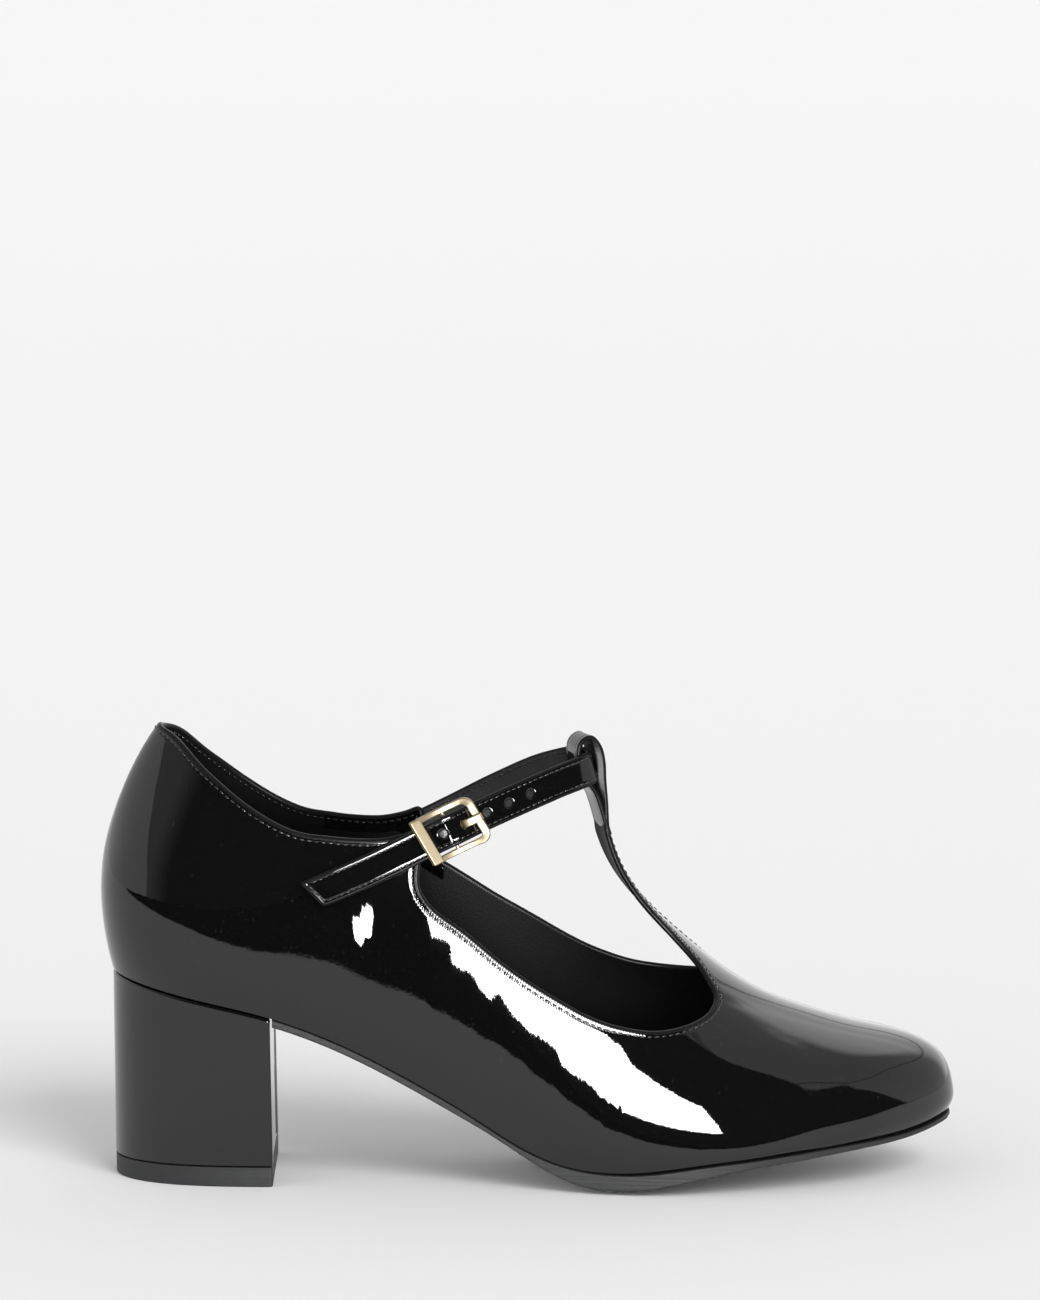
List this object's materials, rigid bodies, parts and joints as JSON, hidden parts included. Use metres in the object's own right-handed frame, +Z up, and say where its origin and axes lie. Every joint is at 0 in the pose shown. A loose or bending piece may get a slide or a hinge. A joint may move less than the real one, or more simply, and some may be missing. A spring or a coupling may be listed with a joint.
{
  "type": "t-strap block heel shoe",
  "caption": "Closed-toe shoe with a T-bar, a narrow buckled ankle strap, cut-away sides and a D-shaped block heel.",
  "frame": {"origin": "middle of the object's bounding box, on the floor plane it stands on", "axes": "+X towards the toe, +Y towards the inner (medial) side, +Z up; the buckle is on the outer side, -Y"},
  "size_m": [0.2422, 0.0798, 0.1287],
  "materials": {
    "upper": "black patent, mirror gloss",
    "insole": "black lining leather, matt",
    "outsole": "dark grey, matt",
    "heel": "block covered in black patent",
    "top_lift": "dark grey, matt",
    "strap": "black patent, mirror gloss",
    "buckle": "pale gold, satin"
  },
  "bodies": {
    "root": {"upper": "upper", "insole": "insole", "outsole": "outsole", "heel": "heel", "top_lift": "top_lift", "ankle_strap": "strap", "buckle_tab": "strap", "buckle_frame": "buckle", "buckle_prong": "buckle"}
  },
  "joints": []
}
